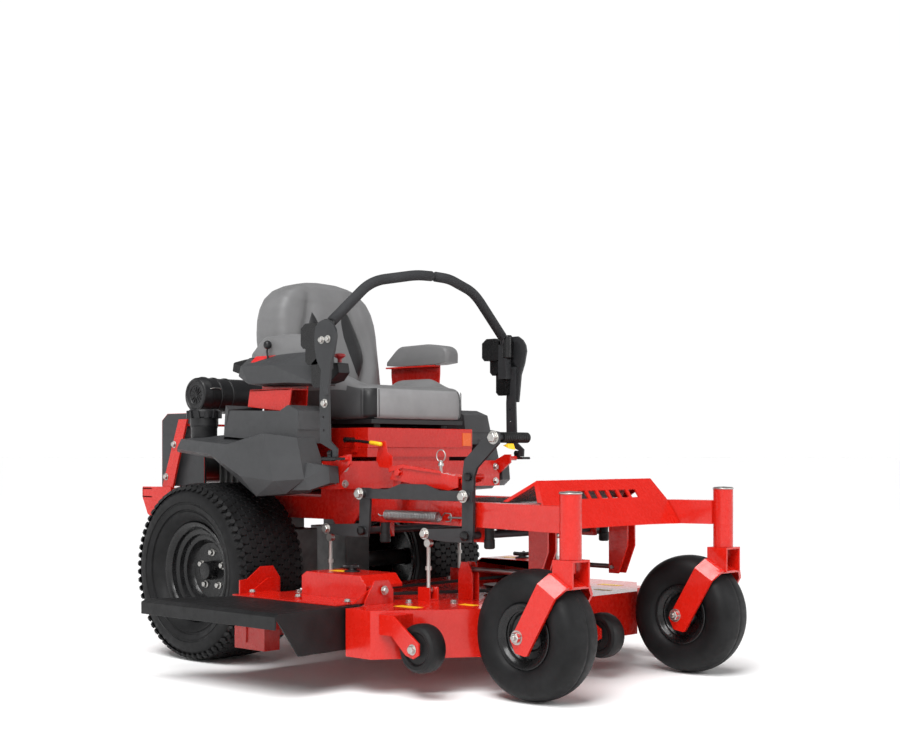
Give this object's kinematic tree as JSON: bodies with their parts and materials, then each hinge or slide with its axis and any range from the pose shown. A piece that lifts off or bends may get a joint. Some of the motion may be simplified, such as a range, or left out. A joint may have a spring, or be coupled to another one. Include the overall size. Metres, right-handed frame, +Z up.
{
  "type": "zero turn mower",
  "caption": "Ride-on zero turn mower with a floating cutting deck, swivelling front casters, twin control levers, a sliding seat and a hinged side discharge chute.",
  "frame": {"origin": "bottom centre of the whole machine's box, on the ground", "axes": "+X forward, +Y to the machine's left, +Z up"},
  "size_m": [2.1136, 1.585, 1.345],
  "materials": {
    "frame_paint": "gloss powder coat",
    "black_paint": "satin powder coat",
    "charcoal_plate": "satin powder coat",
    "plastic_grey": "textured",
    "plastic_black": "satin",
    "seat_vinyl": "soft vinyl",
    "foam_grip": "matt foam",
    "tyre_rubber": "matt",
    "rubber": "matt",
    "zinc": "zinc plated",
    "cast_metal": "cast",
    "red_knob": "satin"
  },
  "bodies": {
    "chassis": {"frame_rails": "frame_paint", "rear_frame": "frame_paint", "front_panel": "frame_paint", "floor_pan": "black_paint", "engine_guard": "frame_paint", "seat_box": "frame_paint", "fuel_tanks": "plastic_grey", "control_console": "plastic_grey", "armrest_pads": "seat_vinyl", "engine_block": "cast_metal", "engine_shroud": "black_paint", "air_cleaner": "plastic_black", "muffler": "zinc", "transaxles": "cast_metal", "height_bracket": "frame_paint", "chassis_fasteners": "zinc", "lift_spring": "zinc"},
    "seat": {"seat_base": "plastic_black", "seat_cushion": "seat_vinyl", "seat_back": "seat_vinyl"},
    "deck": {"deck_shell": "frame_paint", "deck_brackets": "frame_paint", "belt_covers": "frame_paint", "deck_belt": "rubber", "lift_rods": "zinc"},
    "chute": {"chute_plate": "frame_paint", "chute_deflector": "rubber"},
    "lift_front": {"lift_shaft_front": "charcoal_plate", "pedal_grip": "rubber"},
    "lift_rear": {"lift_shaft_rear": "charcoal_plate"},
    "lift_link": {"lift_link": "charcoal_plate"},
    "drag_links": {"drag_links": "frame_paint"},
    "throttle": {"throttle_lever": "plastic_black"},
    "pto_knob": {"pto_knob": "red_knob"},
    "brake": {"brake_lever": "black_paint"},
    "height_pin": {"height_pin": "zinc"},
    "rear_wheel_right": {"rear_tyre_right": "tyre_rubber", "rear_rim_right": "black_paint"},
    "caster_fork_right": {"caster_fork_right": "frame_paint"},
    "caster_wheel_right": {"caster_tyre_right": "tyre_rubber", "caster_rim_right": "black_paint"},
    "lever_base_right": {"lever_base_right": "black_paint"},
    "lever_right": {"lever_arm_right": "charcoal_plate", "lever_grip_right": "foam_grip"},
    "fuel_cap_right": {"fuel_cap_right": "plastic_black"},
    "anti_scalp_wheel_right": {"anti_scalp_wheel_right": "rubber"},
    "blade_spindle_right": {"blade_spindle_right": "cast_metal"},
    "rear_wheel_left": {"rear_tyre_left": "tyre_rubber", "rear_rim_left": "black_paint"},
    "caster_fork_left": {"caster_fork_left": "frame_paint"},
    "caster_wheel_left": {"caster_tyre_left": "tyre_rubber", "caster_rim_left": "black_paint"},
    "lever_base_left": {"lever_base_left": "black_paint"},
    "lever_left": {"lever_arm_left": "charcoal_plate", "lever_grip_left": "foam_grip"},
    "fuel_cap_left": {"fuel_cap_left": "plastic_black"},
    "anti_scalp_wheel_left": {"anti_scalp_wheel_left": "rubber"},
    "blade_spindle_left": {"blade_spindle_left": "cast_metal"},
    "anti_scalp_wheel_middle": {"anti_scalp_wheel_middle": "rubber"},
    "blade_spindle_middle": {"blade_spindle_middle": "cast_metal"}
  },
  "joints": [
    {"name": "rear_wheel_right_spin", "type": "hinge", "parent": "chassis", "child": "rear_wheel_right", "pos_m": [-0.52675, -0.3175, 0.305], "axis": [0, 1, 0], "continuous": true},
    {"name": "caster_swivel_right", "type": "hinge", "parent": "chassis", "child": "caster_fork_right", "pos_m": [0.99125, -0.259, 0.5], "axis": [0, 0, 1], "continuous": true},
    {"name": "caster_wheel_right_spin", "type": "hinge", "parent": "caster_fork_right", "child": "caster_wheel_right", "pos_m": [0.86625, -0.259, 0.1905], "axis": [0, 1, 0], "continuous": true},
    {"name": "lever_right_drive", "type": "hinge", "parent": "chassis", "child": "lever_base_right", "pos_m": [0.07625, -0.3275, 0.694], "axis": [0, 1, 0], "range_deg": [-15, 15]},
    {"name": "lever_right_swing", "type": "hinge", "parent": "lever_base_right", "child": "lever_right", "pos_m": [0.07625, -0.3275, 0.712], "axis": [1, 0, 0], "range_deg": [0, 25]},
    {"name": "fuel_cap_right_turn", "type": "hinge", "parent": "chassis", "child": "fuel_cap_right", "pos_m": [-0.61175, -0.3175, 0.8], "axis": [0, 0, 1], "range_deg": [0, 90]},
    {"name": "anti_scalp_right_spin", "type": "hinge", "parent": "deck", "child": "anti_scalp_wheel_right", "pos_m": [0.61325, -0.4675, 0.149], "axis": [0, 1, 0], "continuous": true},
    {"name": "blade_right_spin", "type": "hinge", "parent": "deck", "child": "blade_spindle_right", "pos_m": [0.18325, -0.2875, 0.26], "axis": [0, 0, 1], "continuous": true},
    {"name": "rear_wheel_left_spin", "type": "hinge", "parent": "chassis", "child": "rear_wheel_left", "pos_m": [-0.52675, 0.5825, 0.305], "axis": [0, 1, 0], "continuous": true},
    {"name": "caster_swivel_left", "type": "hinge", "parent": "chassis", "child": "caster_fork_left", "pos_m": [0.99125, 0.524, 0.5], "axis": [0, 0, 1], "continuous": true},
    {"name": "caster_wheel_left_spin", "type": "hinge", "parent": "caster_fork_left", "child": "caster_wheel_left", "pos_m": [0.86625, 0.524, 0.1905], "axis": [0, 1, 0], "continuous": true},
    {"name": "lever_left_drive", "type": "hinge", "parent": "chassis", "child": "lever_base_left", "pos_m": [0.07625, 0.5925, 0.694], "axis": [0, 1, 0], "range_deg": [-15, 15]},
    {"name": "lever_left_swing", "type": "hinge", "parent": "lever_base_left", "child": "lever_left", "pos_m": [0.07625, 0.5925, 0.712], "axis": [-1, 0, 0], "range_deg": [0, 25]},
    {"name": "fuel_cap_left_turn", "type": "hinge", "parent": "chassis", "child": "fuel_cap_left", "pos_m": [-0.61175, 0.5825, 0.8], "axis": [0, 0, 1], "range_deg": [0, 90]},
    {"name": "anti_scalp_left_spin", "type": "hinge", "parent": "deck", "child": "anti_scalp_wheel_left", "pos_m": [0.61325, 0.7325, 0.149], "axis": [0, 1, 0], "continuous": true},
    {"name": "blade_left_spin", "type": "hinge", "parent": "deck", "child": "blade_spindle_left", "pos_m": [0.18325, 0.5525, 0.26], "axis": [0, 0, 1], "continuous": true},
    {"name": "anti_scalp_middle_spin", "type": "hinge", "parent": "deck", "child": "anti_scalp_wheel_middle", "pos_m": [0.74125, 0.2165, 0.136], "axis": [0, 1, 0], "continuous": true},
    {"name": "blade_middle_spin", "type": "hinge", "parent": "deck", "child": "blade_spindle_middle", "pos_m": [0.40325, 0.1325, 0.26], "axis": [0, 0, 1], "continuous": true},
    {"name": "seat_slide", "type": "slide", "parent": "chassis", "child": "seat", "axis": [1, 0, 0], "range_m": [-0.05, 0.05]},
    {"name": "deck_lift", "type": "slide", "parent": "chassis", "child": "deck", "axis": [0, 0, 1], "range_m": [-0.04, 0.04]},
    {"name": "lift_front_turn", "type": "hinge", "parent": "chassis", "child": "lift_front", "pos_m": [0.54425, 0.1325, 0.46], "axis": [0, 1, 0], "range_deg": [-13.23, 13.23]},
    {"name": "lift_rear_turn", "type": "hinge", "parent": "chassis", "child": "lift_rear", "pos_m": [0.08625, 0.1325, 0.46], "axis": [0, 1, 0], "range_deg": [-13.23, 13.23]},
    {"name": "lift_link_turn", "type": "hinge", "parent": "lift_front", "child": "lift_link", "pos_m": [0.55325, -0.1985, 0.581], "axis": [0, 1, 0], "range_deg": [-13.23, 13.23]},
    {"name": "drag_link_turn", "type": "hinge", "parent": "chassis", "child": "drag_links", "pos_m": [0.71025, 0.1325, 0.345], "axis": [0, 1, 0], "range_deg": [-8.54, 8.54]},
    {"name": "chute_hinge", "type": "hinge", "parent": "deck", "child": "chute", "pos_m": [0.07325, -0.3525, 0.291], "axis": [-1, 0, 0], "range_deg": [0, 65]},
    {"name": "throttle_turn", "type": "hinge", "parent": "chassis", "child": "throttle", "pos_m": [-0.34175, -0.2525, 1], "axis": [0, 1, 0], "range_deg": [-12, 12]},
    {"name": "pto_pull", "type": "slide", "parent": "chassis", "child": "pto_knob", "axis": [0, 0, 1], "range_m": [0, 0.01]},
    {"name": "brake_turn", "type": "hinge", "parent": "chassis", "child": "brake", "pos_m": [-0.03375, -0.1675, 0.757], "axis": [0, 1, 0], "range_deg": [-20, 0]},
    {"name": "height_pin_pull", "type": "slide", "parent": "chassis", "child": "height_pin", "axis": [0, 0, 1], "range_m": [0, 0.06]}
  ],
  "couplings": [
    {"joint": "lift_front_turn", "follows": "deck_lift", "rad_per_m": 5.5556},
    {"joint": "lift_rear_turn", "follows": "deck_lift", "rad_per_m": 5.5556},
    {"joint": "lift_link_turn", "follows": "deck_lift", "rad_per_m": -5.5556},
    {"joint": "drag_link_turn", "follows": "deck_lift", "rad_per_m": 3.5088},
    {"joint": "blade_right_spin", "follows": "blade_middle_spin", "ratio": 1},
    {"joint": "blade_left_spin", "follows": "blade_middle_spin", "ratio": 1}
  ]
}
